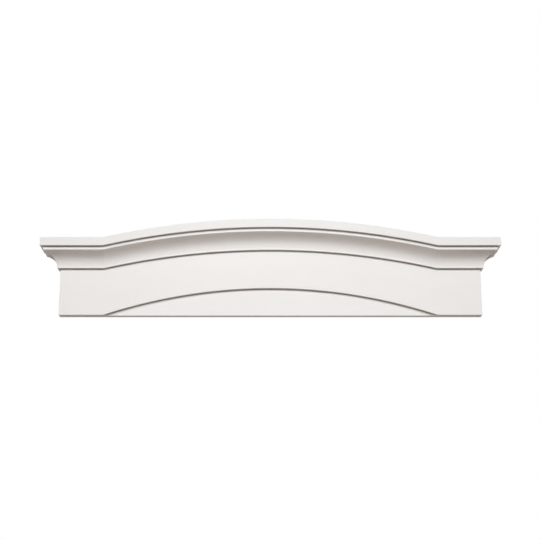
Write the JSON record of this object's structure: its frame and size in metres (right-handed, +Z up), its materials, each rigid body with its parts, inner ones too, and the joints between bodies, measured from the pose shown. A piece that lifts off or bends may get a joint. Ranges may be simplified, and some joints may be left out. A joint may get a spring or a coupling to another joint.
{
  "type": "window crosshead",
  "caption": "Moulded window head with a plain frieze board, a cornice that rises in a low arch between level ends, mitred returns and a sunk arched panel.",
  "frame": {"origin": "the wall mount: on the flat back, on the centreline, 90 mm above the underside", "axes": "+X along the crosshead to the viewer's right, +Y into the wall, so the face looks along -Y, +Z up"},
  "size_m": [1.1072, 0.0689, 0.2277],
  "materials": {
    "white_primer": "smooth white factory primer, satin-matt, over dense moulded foam"
  },
  "bodies": {
    "root": {"crosshead": "white_primer"}
  },
  "joints": []
}
